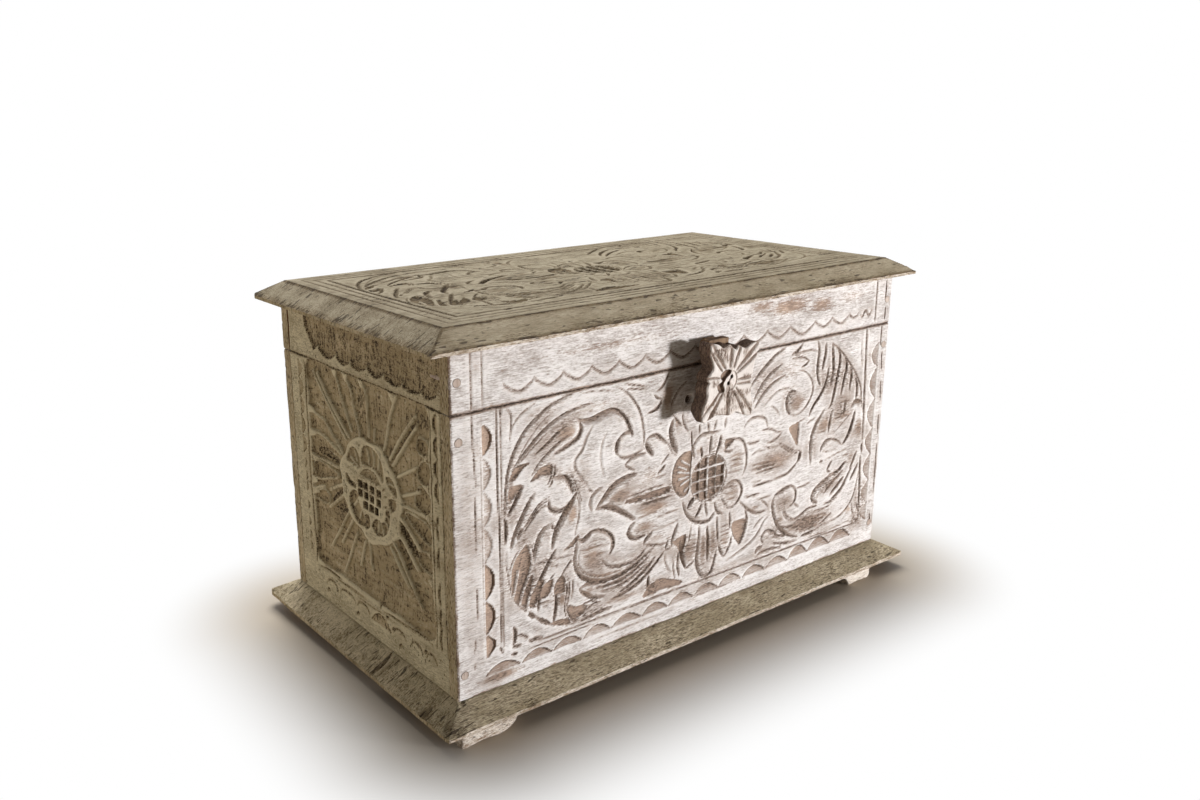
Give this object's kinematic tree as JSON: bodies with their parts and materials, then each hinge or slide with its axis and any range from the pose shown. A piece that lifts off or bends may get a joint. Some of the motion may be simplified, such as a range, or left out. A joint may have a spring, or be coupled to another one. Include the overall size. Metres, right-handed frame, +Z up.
{
  "type": "carved storage chest",
  "caption": "Small whitewashed carved wooden chest with bevelled hinged lid, projecting base on bracket feet, and a carved drop latch.",
  "frame": {"origin": "on the floor, under the middle of the bounding box, at the soles of the feet", "axes": "+X along the front to the right as seen from the front, +Y from the front to the back, +Z up"},
  "size_m": [0.4376, 0.2572, 0.2504],
  "materials": {
    "front_wash": "distressed pinkish-white wash over carved hardwood, matt",
    "grey_wash": "worn grey-olive wash with dark pores and streaks, matt",
    "foot_wash": "thin worn wash over brown hardwood, matt",
    "latch_wash": "white wash with brown-grey grooves, matt",
    "peg_wood": "end grain with rubbed wash, matt",
    "iron": "dark oxidised iron",
    "hinge_brass": "dull aged brass"
  },
  "bodies": {
    "case": {"front_board": "front_wash", "back_board": "front_wash", "left_end_board": "grey_wash", "right_end_board": "grey_wash", "peg_front_left_lower": "peg_wood", "peg_front_left_upper": "peg_wood", "peg_front_right_lower": "peg_wood", "peg_front_right_upper": "peg_wood", "peg_back_left_lower": "peg_wood", "peg_back_left_upper": "peg_wood", "peg_back_right_lower": "peg_wood", "peg_back_right_upper": "peg_wood", "base_plank_front": "grey_wash", "base_plank_back": "grey_wash", "foot_front_left": "foot_wash", "foot_front_right": "foot_wash", "foot_back_left": "foot_wash", "foot_back_right": "foot_wash", "hinge_left_case_leaf": "hinge_brass", "hinge_left_pin": "hinge_brass", "hinge_right_case_leaf": "hinge_brass", "hinge_right_pin": "hinge_brass", "hinge_left_case_screw_1": "hinge_brass", "hinge_left_case_screw_2": "hinge_brass", "hinge_right_case_screw_1": "hinge_brass", "hinge_right_case_screw_2": "hinge_brass"},
    "lid": {"lid_front_rail": "front_wash", "lid_back_rail": "front_wash", "lid_left_rail": "grey_wash", "lid_right_rail": "grey_wash", "lid_board": "grey_wash", "lid_peg_front_left": "peg_wood", "lid_peg_front_right": "peg_wood", "lid_peg_back_left": "peg_wood", "lid_peg_back_right": "peg_wood", "hinge_left_lid_leaf": "hinge_brass", "hinge_right_lid_leaf": "hinge_brass", "hinge_left_lid_screw_1": "hinge_brass", "hinge_left_lid_screw_2": "hinge_brass", "hinge_right_lid_screw_1": "hinge_brass", "hinge_right_lid_screw_2": "hinge_brass", "latch_hanger": "front_wash", "latch_pin": "iron"},
    "latch": {"latch_rosette": "latch_wash", "latch_tongue": "latch_wash", "latch_brad_upper": "iron", "latch_brad_lower": "iron"}
  },
  "joints": [
    {"name": "lid_hinge", "type": "hinge", "parent": "case", "child": "lid", "pos_m": [0, 0.1141, 0.2008], "axis": [-1, 0, 0], "range_deg": [0, 168]},
    {"name": "latch_hinge", "type": "hinge", "parent": "lid", "child": "latch", "pos_m": [0.0014, -0.1118, 0.215], "axis": [-1, 0, 0], "range_deg": [0, 90]}
  ]
}
